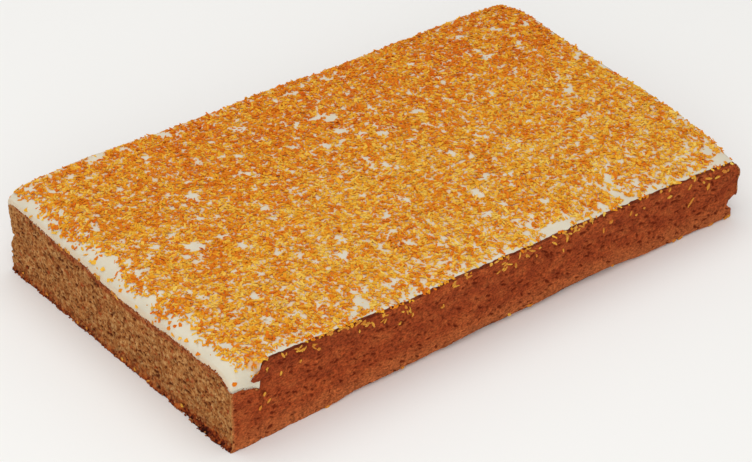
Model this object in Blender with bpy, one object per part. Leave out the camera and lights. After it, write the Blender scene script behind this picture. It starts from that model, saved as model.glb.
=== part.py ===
"""Carrot cake: a slab of iced sponge, cut at one end and baked crust on its other three sides.

u runs from the cut end along the slab, v from the front crust side across it, and z up from the
table. The icing lies in a shallow hollow whose thin rim the crust makes, and it is rounded off at
the cut, where no rim holds it.
"""

import math
import random

import bmesh
import bpy
from mathutils import Matrix, Vector, noise

MM = 0.001

# Slab
LENGTH = 310 * MM
WIDTH = 182 * MM
GAP = 0.35 * MM  # clear space between the sponge and the icing
SPILL_GAP = 0.7 * MM  # more of it where the spill's underside is steep

# Height of the icing's level middle at each end, and of the rim along the two long sides
ICING_AT_CUT = 46.4 * MM
ICING_AT_FAR = 43.4 * MM
FRONT_RIM = [(0, 44.8), (50, 42.6), (110, 39.4), (130, 40.2), (200, 38.2), (265, 36.2), (310, 33.4)]
BACK_RIM = [(0, 45.8), (50, 47.4), (115, 45.2), (150, 45.2), (200, 42.8), (290, 42.2), (310, 40.6)]
FRONT_FALL = 27 * MM
BACK_FALL = 11 * MM
FAR_DROP = 0.9 * MM
FAR_FALL = 9 * MM
TOP_WAVE = 0.5 * MM
TOP_WAVE_SIZE = 38 * MM

# Hollow that the icing fills, and the crust's rim round it
FLOOR_AT_CUT = 36.8 * MM
FLOOR_FALL = 8.0 * MM
CUT_EDGE = [(0, 36.6), (24, 37.4), (48, 38.0), (85, 35.4), (105, 36.4), (134, 36.6), (168, 37.2), (182, 36.0)]
RIM_TOP = 1.4 * MM
RIM_FOOT = 3.5 * MM
RIM_ROUND = 0.5 * MM
BACK_BREAK = 11 * MM
BACK_BREAK_LEFT = 0.35

# Icing's rounded edge at the cut, and its spill over the front where the rim broke away
CUT_ROUND = 12 * MM
CUT_ROUND_BACK = 5.5 * MM
CUT_LIP = 1.3 * MM
BREAK_START = 17.0 * MM
BREAK_END = 18.4 * MM
SPILL_EDGE = [(0, 34.2), (5, 33.3), (10, 32.4), (13, 31.2), (15.6, 28.9), (17, 32.5), (19, 34)]
SPILL_REACH = 5 * MM
SPILL_ROUND = 7 * MM
ICING_TURN = 3 * MM
CORNER_CUT = 2.0 * MM
ICING_STRAIGHT_FROM = 24 * MM

# Crust: how far the front's lower edge is lifted off the table, and the ragged lip under the cut
BASE_LIFT = [(0, 0), (50, 0.2), (75, 2), (125, 2.6), (145, 4.2), (175, 3), (228, 4.8), (250, 1.8), (310, 0.5)]
BASE_ROUND = 10 * MM
LIFT_SHARE = 0.6
TUCK_SHARE = 0.75
TUCK_HEIGHT = 9 * MM
CUT_FOOT = 1.2 * MM
CUT_FOOT_NEAR = 1.4 * MM
CUT_FOOT_AT = 18 * MM
CUT_FOOT_REACH = 13 * MM
CUT_FOOT_HEIGHT = 2.6 * MM
FAR_BULGE = [(0, 0.2), (4, 0.6), (9, -2.6), (15, 2.6), (22, 3.4), (28, 3.0), (34, 0), (48, 0)]
FAR_BULGE_REACH = 34 * MM
SIDE_REACH = 12 * MM

# Depth and size of the crags on each kind of side
CRUST_CRAGS = [(0.9 * MM, 26 * MM), (0.5 * MM, 11 * MM)]
CUT_CRAGS = [(0.35 * MM, 17 * MM), (0.25 * MM, 8 * MM)]

# Grid that the shapes above are drawn on
CUT_STATIONS = [0, 0.7, 2.0, 4.0, 6.5, 9.5, 12, 14, 15.6, 16.3, 17.0, 18.4, 24]
SPILL_STATIONS = [0, 1.2, 2.9]
STEP = 10.5 * MM
WALL_STATIONS = [0, 0.05, 0.12, 0.22, 0.34, 0.47, 0.6, 0.73, 0.87, 1]

# Carrot flakes
FLAKE_LENGTH = (3.8 * MM, 5.6 * MM)
FLAKE_WIDTH = 1.5 * MM
FLAKE_THICK = 1.1 * MM
FLAKE_BEND = 0.9 * MM
FLAKE_TIP = 0.62
FLAKE_SUNK = 0.3
TOP_FLAKE_SPACING = 15.8 * MM
TOP_FLAKE_MARGIN = 5.6 * MM
TOP_FLAKE_FROM = 9 * MM
SIDE_FLAKES = 15
SIDE_FLAKE_SPACING = 8 * MM
SIDE_FLAKE_BAND = (3.2 * MM, 17 * MM)
FOOT_FLAKES = 5
FOOT_FLAKE_HEIGHT = 2.6 * MM
SEED = 11

# Colours
CRUST_BROWN = (0.33, 0.12, 0.04)
CREAM_WHITE = (0.8, 0.73, 0.58)


def clamp(value):
    return max(0.0, min(1.0, value))


def smooth(value):
    value = clamp(value)
    return value * value * (3 - 2 * value)


def along(points, place):
    """Value at a place on the smooth curve through points, which are in millimetres."""
    place = max(points[0][0], min(points[-1][0], place / MM))
    last = len(points) - 2
    i = next((n for n in range(last + 1) if place <= points[n + 1][0]), last)
    (start, a), (end, b) = points[i], points[i + 1]
    before, after = points[max(i - 1, 0)], points[min(i + 2, last + 1)]
    run = end - start
    t = (place - start) / run
    leave = (b - before[1]) / (end - before[0]) * run
    arrive = (after[1] - a) / (after[0] - start) * run
    curve = a * (2 * t**3 - 3 * t**2 + 1) + leave * (t**3 - 2 * t**2 + t)
    curve += b * (3 * t**2 - 2 * t**3) + arrive * (t**3 - t**2)
    return curve * MM


def crags(layers, u, v, z):
    """Uneven relief, the sum of layers of a depth and a size."""
    return sum(depth * noise.noise(Vector((u, v, z)) / size) for depth, size in layers)


def top_height(u, v):
    """Surface of the icing and top of the rim: a level middle that falls to the baked sides."""
    middle = ICING_AT_CUT + (ICING_AT_FAR - ICING_AT_CUT) * u / LENGTH
    front = (middle - along(FRONT_RIM, u)) * math.exp(-v / FRONT_FALL)
    back = (middle - along(BACK_RIM, u)) * math.exp((v - WIDTH) / BACK_FALL)
    far = FAR_DROP * math.exp((u - LENGTH) / FAR_FALL)
    return middle - front - back - far + crags([(TOP_WAVE, TOP_WAVE_SIZE)], u, v, 0)


def rim_stands(u):
    """From 0 where the front rim broke away, at the near corner, to 1 where it is whole."""
    return smooth((u - BREAK_START) / (BREAK_END - BREAK_START))


def floor_height(u, v):
    """Sponge's top under the icing: a slanting plane, wavy at the cut and low at the near corner."""
    level = FLOOR_AT_CUT - FLOOR_FALL * u / LENGTH
    level += (along(CUT_EDGE, v) - FLOOR_AT_CUT) * clamp(1 - u / ICING_STRAIGHT_FROM)
    spill = (1 - rim_stands(u)) * clamp(1 - v / SPILL_REACH)
    return level + (along(SPILL_EDGE, u) - level) * spill


def sponge_top(u, v):
    """Hollow's floor, or the rim where a baked side is near."""
    front, back, far = v, WIDTH - v, LENGTH - u
    inward = min(front, back, far)
    whole = 1.0
    if inward == front:
        whole = rim_stands(u)
    elif inward == back:
        whole = BACK_BREAK_LEFT + (1 - BACK_BREAK_LEFT) * smooth(u / BACK_BREAK)
    wall = clamp((RIM_FOOT - inward) / (RIM_FOOT - RIM_TOP)) * whole
    floor = floor_height(u, v)
    rim = top_height(u, v) - RIM_ROUND * clamp(1 - inward / RIM_ROUND)
    return floor + (rim - floor) * wall


def lift(u):
    """How far the front's lower edge is worn back, from which it is both lifted and tucked in."""
    return max(0.0, along(BASE_LIFT, u))


def near(distance, reach):
    """1 at a side, falling to 0 at its reach."""
    return clamp(1 - distance / reach)


def side_push(u, v, z, reach):
    """How the crags, the bulge, the tucked foot and the cut's ragged lip move a point near a side."""
    crust = crags(CRUST_CRAGS, u, v, 2 * z)
    tuck = TUCK_SHARE * lift(u) * near(z, TUCK_HEIGHT) ** 2
    foot = CUT_FOOT + CUT_FOOT_NEAR * math.exp(-(((v - CUT_FOOT_AT) / CUT_FOOT_REACH) ** 2))
    cut = foot * near(z, CUT_FOOT_HEIGHT) + crags(CUT_CRAGS, u, v, z)
    bulge = along(FAR_BULGE, z) * math.exp(-v / FAR_BULGE_REACH)
    x = near(LENGTH - u, reach) * (bulge + crust) - near(u, reach) * cut
    y = near(WIDTH - v, reach) * crust + near(v, reach) * (tuck - crust)
    return Vector((x, y, 0))


def sponge_point(u, v, share):
    """Where a point of the gridded block goes, share being its height from the base to the top."""
    base = LIFT_SHARE * lift(u) * near(v, BASE_ROUND)
    z = base + (sponge_top(u, v) - base) * share
    reach = RIM_TOP if share == 1 else SIDE_REACH
    return Vector((u - LENGTH / 2, v - WIDTH / 2, z)) + side_push(u, v, z, reach)


def icing_front(u, v, reach):
    """Moves a point of the icing's first strip clear of the rim, or out to the side at the break."""
    edge = reach * smooth((u - BREAK_START) / ICING_TURN + 1)
    return edge + (SPILL_REACH - edge) * v / SPILL_REACH if v < SPILL_REACH else v


def icing_point(u, v, share):
    """Where a point of the icing's gridded block goes."""
    at_cut = near(u, CUT_ROUND + (CUT_ROUND_BACK - CUT_ROUND) * v / WIDTH)
    rounding = math.sqrt(1 - at_cut**2)
    reach = RIM_FOOT + (RIM_TOP - RIM_FOOT) * share * rounding + GAP
    v = icing_front(u, min(v, WIDTH - reach), reach)
    from_corner = min(v, WIDTH - v) - reach
    u = min(u, LENGTH - reach - max(0, CORNER_CUT - from_corner))
    bottom = floor_height(u, v) + GAP + SPILL_GAP * near(v, SPILL_REACH) * (1 - rim_stands(u))
    lip = bottom + CUT_LIP
    at_spill = near(v, SPILL_ROUND) * (1 - rim_stands(u + ICING_TURN / 2))
    rounding *= math.sqrt(1 - at_spill**2)
    top = lip + (top_height(u, v) - lip) * rounding
    return Vector((u - LENGTH / 2, v - WIDTH / 2, bottom + (top - bottom) * share))


def stations(start, stop):
    """Evenly spaced places from start to stop, about a step apart, without the last."""
    count = round((stop - start) / STEP)
    return [start + (stop - start) * n / count for n in range(count)]


def gridded_block(name, grid, point, collection, material):
    """A cube cut along each station of u, v and height share, its points then placed by a rule."""
    mesh = bmesh.new()
    bmesh.ops.create_cube(mesh, size=1)
    for axis, places in enumerate(grid):
        for vert in mesh.verts:
            vert.co[axis] = places[0] if vert.co[axis] < 0 else places[-1]
    for axis, places in enumerate(grid):
        normal = Vector([float(n == axis) for n in range(3)])
        for place in places[1:-1]:
            everything = mesh.verts[:] + mesh.edges[:] + mesh.faces[:]
            bmesh.ops.bisect_plane(mesh, geom=everything, plane_co=normal * place, plane_no=normal)
    for vert in mesh.verts:
        nearest = [min(places, key=lambda p, at=at: abs(p - at)) for places, at in zip(grid, vert.co)]
        vert.co = point(*nearest)
    bmesh.ops.dissolve_limit(mesh, angle_limit=0.0005, verts=mesh.verts[:], edges=mesh.edges[:])
    bmesh.ops.triangulate(mesh, faces=mesh.faces[:])
    bmesh.ops.recalc_face_normals(mesh, faces=mesh.faces[:])
    return finished(name, mesh, collection, material)


def finished(name, mesh, collection, material=None):
    """Object from an edit mesh."""
    data = bpy.data.meshes.new(name)
    mesh.to_mesh(data)
    mesh.free()
    block = bpy.data.objects.new(name, data)
    collection.objects.link(block)
    if material:
        data.materials.append(material)
    return block


def flake(place, normal, heading, draw, collection):
    """One shred of carrot: a bar with four sides, narrowed to its tips and bent, half sunk in."""
    mesh = bmesh.new()
    bmesh.ops.create_cube(mesh, size=1)
    lengthwise = [e for e in mesh.edges if abs(e.verts[0].co.x - e.verts[1].co.x) > 0.5]
    bmesh.ops.subdivide_edges(mesh, edges=lengthwise, cuts=2, use_grid_fill=True)
    length = draw.uniform(*FLAKE_LENGTH)
    bend = draw.uniform(-1, 1) * FLAKE_BEND
    for vert in mesh.verts:
        from_middle = abs(vert.co.x) * 2
        taper = 1 + (FLAKE_TIP - 1) * from_middle**2
        vert.co.y = vert.co.y * FLAKE_WIDTH * taper + bend * from_middle**2
        vert.co.z = vert.co.z * FLAKE_THICK * taper + (0.5 - FLAKE_SUNK) * FLAKE_THICK * 0.5
        vert.co.x *= length
    bmesh.ops.triangulate(mesh, faces=mesh.faces[:])
    side = normal.cross(heading).normalized()
    forward = side.cross(normal)
    mesh.transform(Matrix.Translation(place) @ Matrix((forward, side, normal)).transposed().to_4x4())
    return finished("flake", mesh, collection)


def on_icing(u, v):
    """Point of the icing's surface and the direction it faces."""
    here, ahead, across = (icing_point(a, b, 1) for a, b in ((u, v), (u + MM, v), (u, v + MM)))
    return here, (ahead - here).cross(across - here).normalized()


def scatter_on_top(draw, collection):
    """Flakes over the icing, one in each cell of a grid, staying off its edges."""
    low_u, high_u = TOP_FLAKE_FROM, LENGTH - RIM_FOOT - TOP_FLAKE_MARGIN
    low_v, high_v = RIM_FOOT + TOP_FLAKE_MARGIN, WIDTH - RIM_FOOT - TOP_FLAKE_MARGIN
    columns = round((high_u - low_u) / TOP_FLAKE_SPACING)
    rows = round((high_v - low_v) / TOP_FLAKE_SPACING)
    for column in range(columns):
        for row in range(rows):
            u = low_u + (high_u - low_u) * (column + draw.uniform(0.25, 0.75)) / columns
            v = low_v + (high_v - low_v) * (row + draw.uniform(0.25, 0.75)) / rows
            place, normal = on_icing(u, v)
            angle = draw.uniform(0, math.tau)
            flake(place, normal, Vector((math.cos(angle), math.sin(angle), 0)), draw, collection)


def front_place(u, z):
    """Point of the front crust at a height."""
    base = LIFT_SHARE * lift(u)
    return sponge_point(u, 0, (z - base) / (sponge_top(u, 0) - base))


def scatter_on_front(draw, collection):
    """Flakes fallen on the front crust: most under the rim, a few at the foot."""
    low, high = SIDE_FLAKE_BAND
    step = (LENGTH - 2 * SIDE_FLAKE_SPACING - BREAK_END) / SIDE_FLAKES
    for n in range(SIDE_FLAKES):
        u = BREAK_END + SIDE_FLAKE_SPACING + step * (n + draw.uniform(0.2, 0.8))
        down = low + (high - low) * draw.random() ** 2
        place = front_place(u, top_height(u, 0) - down)
        heading = Vector((draw.uniform(-1, 1), 0, draw.uniform(-1, 1)))
        flake(place, Vector((0, -1, 0)), heading, draw, collection)
    for n in range(FOOT_FLAKES):
        u = LENGTH * (n + draw.uniform(0.5, 0.9)) / FOOT_FLAKES - SIDE_FLAKE_SPACING
        place = front_place(u, LIFT_SHARE * lift(u) + FOOT_FLAKE_HEIGHT)
        flake(place, Vector((0, -1, 0)), Vector((1, 0, draw.uniform(-0.1, 0.1))), draw, collection)


def one_body(mesh):
    """Keeps a mesh's largest connected part: scraps go, and hollows sealed inside are filled."""
    edit = bmesh.new()
    edit.from_mesh(mesh)
    left = set(edit.verts)
    parts = []
    while left:
        found, edge = set(), [next(iter(left))]
        while edge:
            vert = edge.pop()
            if vert not in found:
                found.add(vert)
                edge += [e.other_vert(vert) for e in vert.link_edges]
        parts.append(found)
        left -= found
    parts.sort(key=len)
    scraps = [vert for part in parts[:-1] for vert in part]
    bmesh.ops.delete(edit, geom=scraps, context="VERTS")
    edit.to_mesh(mesh)
    edit.free()


def fuse(body, toppings):
    """Joins every flake of a collection to the body, then removes the loose flakes."""
    union = body.modifiers.new("flakes", "BOOLEAN")
    union.operation = "UNION"
    union.operand_type = "COLLECTION"
    union.collection = toppings
    union.solver = "EXACT"
    bpy.context.view_layer.update()
    evaluated = body.evaluated_get(bpy.context.evaluated_depsgraph_get())
    joined = bpy.data.meshes.new_from_object(evaluated)
    one_body(joined)
    body.modifiers.remove(union)
    body.data = joined
    for piece in list(toppings.objects):
        bpy.data.objects.remove(piece, do_unlink=True)
    bpy.data.collections.remove(toppings)


def new_collection(name):
    collection = bpy.data.collections.new(name)
    bpy.context.scene.collection.children.link(collection)
    return collection


def food(name, colour, roughness):
    """Matte material of one colour."""
    material = bpy.data.materials.new(name)
    material.use_nodes = True
    shader = material.node_tree.nodes["Principled BSDF"]
    shader.inputs["Base Color"].default_value = (*colour, 1)
    shader.inputs["Roughness"].default_value = roughness
    shader.inputs["Metallic"].default_value = 0
    return material


def main():
    for old in list(bpy.data.objects):
        bpy.data.objects.remove(old, do_unlink=True)
    draw = random.Random(SEED)
    cake = new_collection("carrot_cake")
    rim = [0, RIM_ROUND, RIM_TOP, RIM_FOOT, SPILL_REACH]
    far_rim = [LENGTH - place for place in reversed(rim)]
    back_rim = [WIDTH - place for place in reversed(rim)]
    lengthwise = [place * MM for place in CUT_STATIONS]
    lengthwise = lengthwise[:-1] + stations(lengthwise[-1], far_rim[0])
    widthwise = stations(SPILL_REACH, back_rim[0])

    sponge_grid = (lengthwise + far_rim, rim[:-1] + widthwise + back_rim, WALL_STATIONS)
    spill = [place * MM for place in SPILL_STATIONS]
    icing_grid = (lengthwise + [far_rim[0], LENGTH], spill + widthwise + [back_rim[0], WIDTH], (0, 1))
    sponge = gridded_block("sponge", sponge_grid, sponge_point, cake, food("sponge", CRUST_BROWN, 0.85))
    icing = gridded_block("icing", icing_grid, icing_point, cake, food("icing", CREAM_WHITE, 0.45))
    for body, scatter in ((icing, scatter_on_top), (sponge, scatter_on_front)):
        toppings = new_collection("flakes")
        scatter(draw, toppings)
        fuse(body, toppings)


main()
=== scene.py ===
# Looks of the carrot cake. Shapes are worked out in millimetres: u runs from the cut end along the
# slab, v from the front crust across it and z up from the table, by the same rules as the CAD.
import math
import random
from functools import partial

import bpy
import numpy as np
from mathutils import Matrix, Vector, noise


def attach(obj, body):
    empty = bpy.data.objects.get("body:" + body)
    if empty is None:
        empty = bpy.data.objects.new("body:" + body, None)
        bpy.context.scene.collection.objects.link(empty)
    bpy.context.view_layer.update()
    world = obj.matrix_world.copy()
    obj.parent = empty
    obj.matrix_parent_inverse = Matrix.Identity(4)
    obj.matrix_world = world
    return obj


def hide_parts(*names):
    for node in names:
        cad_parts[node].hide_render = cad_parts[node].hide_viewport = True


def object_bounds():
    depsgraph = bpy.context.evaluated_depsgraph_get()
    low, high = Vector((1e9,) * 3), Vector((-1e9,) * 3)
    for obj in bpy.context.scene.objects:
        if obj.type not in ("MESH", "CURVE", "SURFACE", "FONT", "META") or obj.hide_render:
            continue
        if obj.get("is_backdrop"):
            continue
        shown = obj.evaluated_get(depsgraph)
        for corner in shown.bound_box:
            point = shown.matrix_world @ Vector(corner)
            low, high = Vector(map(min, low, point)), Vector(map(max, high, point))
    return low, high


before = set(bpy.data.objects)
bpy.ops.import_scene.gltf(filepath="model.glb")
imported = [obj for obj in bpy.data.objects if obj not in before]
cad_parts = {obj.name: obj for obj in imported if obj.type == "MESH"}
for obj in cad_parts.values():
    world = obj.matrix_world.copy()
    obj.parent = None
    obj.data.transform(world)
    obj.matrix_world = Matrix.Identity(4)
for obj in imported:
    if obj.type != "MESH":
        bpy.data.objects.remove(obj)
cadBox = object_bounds()
mm = 0.001
print("frame loaded")

slab = {
    "length": 310,
    "width": 182,
    "icingAtCut": 46.4,
    "icingAtFar": 43.4,
    "frontRim": [(0, 44.8), (50, 42.6), (110, 39.4), (130, 40.2), (200, 38.2), (265, 36.2), (310, 33.4)],
    "backRim": [(0, 45.0), (12, 46.5), (30, 47.6), (50, 47.9), (115, 45.4), (150, 45.2), (200, 42.8),
                (290, 42.2), (310, 40.6)],
    "frontFall": 27,
    "backFall": 11,
    "farDrop": 0.9,
    "farFall": 9,
    "waves": [(0.5, 38)],  # depth and size of its slow swells
    "floorAtCut": 36.8,
    "floorFall": 8.0,
    "cutEdge": [(0, 35.4), (3.5, 36.2), (7, 38.3), (12, 39.4), (24, 38.2), (48, 38.0), (62, 37.0), (80, 36.0),
                (97, 36.6), (115, 38.4), (144, 38.6), (158, 39.6), (176, 39.8), (182, 38.8)],
    "straightFrom": 24,
    "brokenRim": [(0, 34.7), (5, 34.4), (8.3, 33.7), (12, 32.3), (14.2, 30.0), (15, 29.5), (16, 31.4),
                  (17.2, 38.5), (18.6, 42.6), (24, 43.7)],
    "brokenTo": 26,
    "brokenSoft": 6,
    "edgeReach": 5,
    "sideReach": 12,
    "rimReach": 1.4,
    "farSwell": 2.6,  # the far end bulges near the back
    "swellAt": 160,
    "swellWide": 20,
    "swellReach": 40,
}
length, width = slab["length"], slab["width"]


def clamp(value):
    return np.clip(value, 0.0, 1.0)


def smooth(value):
    value = clamp(value)
    return value * value * (3 - 2 * value)


def near(distance, reach):  # 1 at a side, 0 from its reach inwards
    return clamp(1 - distance / reach)


def blend(a, b, share):
    return a + (b - a) * share


def along(points, place):  # smooth curve through (place, value) points
    at, value = np.array(points, float).T
    place = np.clip(place, at[0], at[-1])
    i = np.searchsorted(at[1:], place)
    before, after = np.maximum(i - 1, 0), np.minimum(i + 2, len(at) - 1)
    run = at[i + 1] - at[i]
    t = (place - at[i]) / run
    leave = (value[i + 1] - value[before]) / (at[i + 1] - at[before]) * run
    arrive = (value[after] - value[i]) / (at[after] - at[i]) * run
    start = value[i] * (2 * t**3 - 3 * t**2 + 1) + leave * (t**3 - 2 * t**2 + t)
    return start + value[i + 1] * (3 * t**2 - 2 * t**3) + arrive * (t**3 - t**2)


def grain(size, u, v, z=0.0):  # soft noise from about -1 to 1, whose lumps are size millimetres across
    u, v, z = np.broadcast_arrays(u, v, z)
    places = np.stack([u, v, z], -1).reshape(-1, 3) / size
    return np.array([noise.noise(place) for place in places.tolist()]).reshape(u.shape)


def lumps(layers, u, v, z):  # several noises laid over each other, from their depths and sizes
    return sum(depth * grain(size, u, v, z) for depth, size in layers)


def hump(place, middle, wide):  # 1 at its middle, falling away on both sides
    return np.exp(-(((place - middle) / wide) ** 2))


def unit(vectors):
    return vectors / np.maximum(np.linalg.norm(vectors, axis=-1, keepdims=True), 1e-9)


def topHeight(u, v):  # the level of the icing and of the rim
    middle = blend(slab["icingAtCut"], slab["icingAtFar"], u / length)
    front = (middle - along(slab["frontRim"], u)) * np.exp(-v / slab["frontFall"])
    back = (middle - along(slab["backRim"], u)) * np.exp((v - width) / slab["backFall"])
    far = slab["farDrop"] * np.exp((u - length) / slab["farFall"])
    return middle - front - back - far + lumps(slab["waves"], u, v, 0)


def frontEdge(u):  # top of the front crust, which broke away at the near corner
    soft = slab["brokenSoft"]
    whole = smooth((u - slab["brokenTo"] + soft) / soft)
    return blend(along(slab["brokenRim"], u), topHeight(u, 0), whole)


def floorHeight(u, v):  # the sponge's top under the icing
    level = slab["floorAtCut"] - slab["floorFall"] * u / length
    return level + (along(slab["cutEdge"], v) - slab["floorAtCut"]) * near(u, slab["straightFrom"])


sponge = {
    "columns": (500, 170, 270, 372),  # round the front, far, back and cut sides
    "wallRows": 62,
    "cragsTo": 0.87,  # share of the wall's height from which the crags fade towards the rim
    "undersideInsets": (9, 4, 1.4),
    "rimInsets": (0.25, 0.55, 0.9, 1.6, 3.5),
    "rimTop": 0.9,
    "rimFoot": 3.5,
    "rimRound": 0.5,
    "rimNicks": [(0.28, 3.1)],
    "backBreak": 11,  # the back's rim rises over this length from the cut
    "baseLift": [(0, 0), (50, 0.2), (75, 2), (125, 2.6), (145, 4.2), (175, 3), (228, 4.8), (250, 1.8),
                 (310, 0.5)],
    "baseRound": 10,
    "baseNicks": [(0.7, 4.5)],
    "liftShare": 0.6,
    "tuckShare": 0.75,
    "tuckHeight": 9,
    "cutFoot": 1.2,
    "cutFootNear": 1.4,
    "cutFootAt": 18,
    "cutFootReach": 13,
    "cutFootHeight": 2.6,
    "footRagged": [(0.8, 8), (0.35, 2.3), (0.15, 1.1)],
    "farBulge": [(0, -0.5), (3, -0.9), (5.3, -1), (6.6, -2.6), (9, -4), (10.6, -3.2), (12.6, 0.6),
                 (14.4, 2.4), (18, 2.8), (22, 2.9), (25.5, 3.1), (29, 2.0), (33, -0.6), (36, -1.5), (48, -1)],
    "farBulgeReach": 34,
    "backBulge": [(0, 2.4), (8, 2.6), (14, 2.8), (20, 0.7), (25, 1.4), (33, 2.4), (40, 3)],
    "backBulgeReach": 16,
    "crustCrags": [(0.9, 26), (0.5, 11)],
    "cutCrags": [(0.35, 17), (0.25, 8)],
    "crustGrain": [(0.14, 3.6), (0.11, 1.7)],  # depth and size of the finer relief
    "crumbGrain": [(0.16, 3.0), (0.26, 1.35)],
    "crustPits": ("crustPores", "crustCracks"),
    "cutPits": ("crumbPores", "crumbHoles", "carrotBits"),
    # how many on 100 square mm, the least and most of half length, half height and depth, and the lean
    "crustPores": (11, (0.4, 1.1), (0.3, 0.5), (0.25, 0.5), -0.4),
    "crustCracks": (4, (0.9, 2.1), (0.4, 0.75), (0.5, 0.9), -0.4),  # they run down towards the far end
    "crumbPores": (26, (0.4, 0.8), (0.35, 0.6), (0.35, 0.6), 0),
    "crumbHoles": (7, (0.7, 1.9), (0.6, 1.2), (0.7, 1.1), 0),
    "carrotBits": (3, (0.9, 1.9), (0.7, 1.1), (0.8, 1.0), 0),
    "ragged": [(0.6, 5.5), (0.9, 1.9)],  # edges of the browned places on the cut
    "nearCorner": (20, 20),  # middle and reach of the stretch of the cut that is most toasted at its foot
    "toastedFoot": (1.5, 1.9),  # height of the toasted foot, and how much higher it is there
    "brownedFoot": (6, 2),  # height of the browned foot, and how much higher it is in the front half
    "skinDepth": (2.7, 1.3, 3.6),  # of the skin under the icing, with more in the middle and less at the back
    "paleEdge": 0.8,  # the cut is paler beside the crust
    "tornCorner": 1.9,  # and so is the crust at its torn near corner
    # painted shade on the crust below the rim, by the depth below it: near the cut and past it
    "rimShadeNearCut": [(0, 0.5), (8, 0.5), (11, 0.1), (15, 0.15), (22, 0.16), (32, 0.06), (50, 0.06)],
    "rimShadeFarOn": [(0, 0), (4, 0.02), (7, 0.22), (12, 0.23), (22, 0.18), (32, 0.06), (50, 0.06)],
    "rimShadeAlong": [(0, 0), (14, 0), (20, 1), (45, 1), (62, 0.7), (76, 0.5), (92, 0), (310, 0)],
    "grainStretch": 1.7,  # the crust's lumps lie flat, as a cake rises and settles
    "tongue": {"middle": [(10.7, 35.9), (12.4, 36.1), (14.4, 36.2), (16.8, 37.3), (21, 37.6)],
               "tall": [(10.7, 0.7), (12.4, 1.3), (14.4, 2.0), (16.8, 3.4), (21, 4.6)],
               "out": [(10.7, -0.65), (15.2, -0.55), (17.4, -0.2), (21, 0.5)],
               "thick": 0.6, "wobble": [(0.9, 1.6)]},  # a rag of sponge hanging at the near corner
    "seed": 3,
}


def lift(u):
    return np.maximum(0, along(sponge["baseLift"], u))


def baseHeight(u, v):
    return sponge["liftShare"] * lift(u) * near(v, sponge["baseRound"])


def spongeTop(u, v):  # the hollow's floor, or the rim where a baked side is near
    back = width - v
    inward = np.minimum(np.minimum(v, back), length - u)
    wall = clamp((sponge["rimFoot"] - inward) / (sponge["rimFoot"] - sponge["rimTop"]))
    wall = wall * np.where(inward == back, smooth(u / sponge["backBreak"]), 1)
    rim = np.where((inward == v) & (u < slab["brokenTo"]), frontEdge(u), topHeight(u, v))
    rim = rim - sponge["rimRound"] * near(inward, sponge["rimRound"])
    return blend(floorHeight(u, v), rim, wall)


def farSwell(u, v):
    across = hump(v, slab["swellAt"], slab["swellWide"])
    return slab["farSwell"] * near(length - u, slab["swellReach"]) * across


def backFlare(u, v, z):
    out = along(sponge["backBulge"], z) * np.exp(-u / sponge["backBulgeReach"])
    return out * near(width - v, slab["sideReach"])


def slabPoint(u, v, z, reach, footShare=1.0):  # a place on the slab with its sides' crags and bulges
    crust = lumps(sponge["crustCrags"], u, v, 2 * z)
    tuck = sponge["tuckShare"] * lift(u) * near(z, sponge["tuckHeight"]) ** 2
    nearFoot = sponge["cutFootNear"] * hump(v, sponge["cutFootAt"], sponge["cutFootReach"])
    foot = (sponge["cutFoot"] + nearFoot) * footShare
    cut = foot * near(z, sponge["cutFootHeight"]) + lumps(sponge["cutCrags"], u, v, z)
    bulge = along(sponge["farBulge"], z) * np.exp(-v / sponge["farBulgeReach"])
    x = u + near(length - u, reach) * (bulge + crust) - near(u, reach) * cut
    y = v + near(width - v, reach) * crust + near(v, reach) * (tuck - crust)
    x = x + farSwell(u, v) - length / 2
    return np.stack([x, y + backFlare(u, v, z) - width / 2, z], -1)


# a joined mesh with its values at each point, its materials and its places on the baked picture
def meshPiece(name, points, quads, triangles, places, materials, values, slots=0):
    mesh = bpy.data.meshes.new(name)
    mesh.vertices.add(len(points))
    mesh.vertices.foreach_set("co", (points * mm).astype(np.float32).ravel())
    corners = np.concatenate([quads.ravel(), triangles.ravel()]).astype(np.int32)
    mesh.loops.add(len(corners))
    mesh.loops.foreach_set("vertex_index", corners)
    starts = np.concatenate([np.arange(len(quads)) * 4, len(quads) * 4 + np.arange(len(triangles)) * 3])
    mesh.polygons.add(len(starts))
    mesh.polygons.foreach_set("loop_start", starts.astype(np.int32))
    mesh.polygons.foreach_set("material_index", (slots + 0 * starts).astype(np.int32))
    mesh.update(calc_edges=True)
    mesh.shade_smooth()
    mesh.uv_layers.new(name="OFBake").uv.foreach_set("vector", places.astype(np.float32).ravel())
    for key, value in values.items():
        stored = mesh.attributes.new(key, "FLOAT", "POINT")
        stored.data.foreach_set("value", value.astype(np.float32).ravel())
    for material in materials:
        mesh.materials.append(material)
    piece = bpy.data.objects.new(name, mesh)
    bpy.context.scene.collection.objects.link(piece)
    return piece


def squares(left, low, right, high):  # the corners' places on the picture, for faces that lie square on it
    return np.stack(np.broadcast_arrays(left, low, right, low, right, high, left, high), -1).reshape(-1, 2)


def bakeStrips(rows, side, share, columns):  # each side a strip across the picture's lower four fifths
    low = 0.19 * side + 0.01 + 0.17 * np.arange(rows - 1)[:, None] / (rows - 1)
    return squares(share, low, share + 1 / np.array(columns)[side], low + 0.17 / (rows - 1))


def bakeFan(around, middle):  # a disc in the upper fifth
    turn = np.arange(around + 1) * math.tau / around
    rim = np.stack([middle + 0.2 * np.cos(turn), 0.87 + 0.08 * np.sin(turn)], -1)
    return np.stack([rim[1:], rim[:-1], np.full((around, 2), (middle, 0.87))], 1).reshape(-1, 2)


def bakePatch(count, low, corners=4):  # faces of a small form share one little square
    return np.tile(squares(0.47, low, 0.53, low + 0.02)[:corners], (count, 1))


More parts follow.
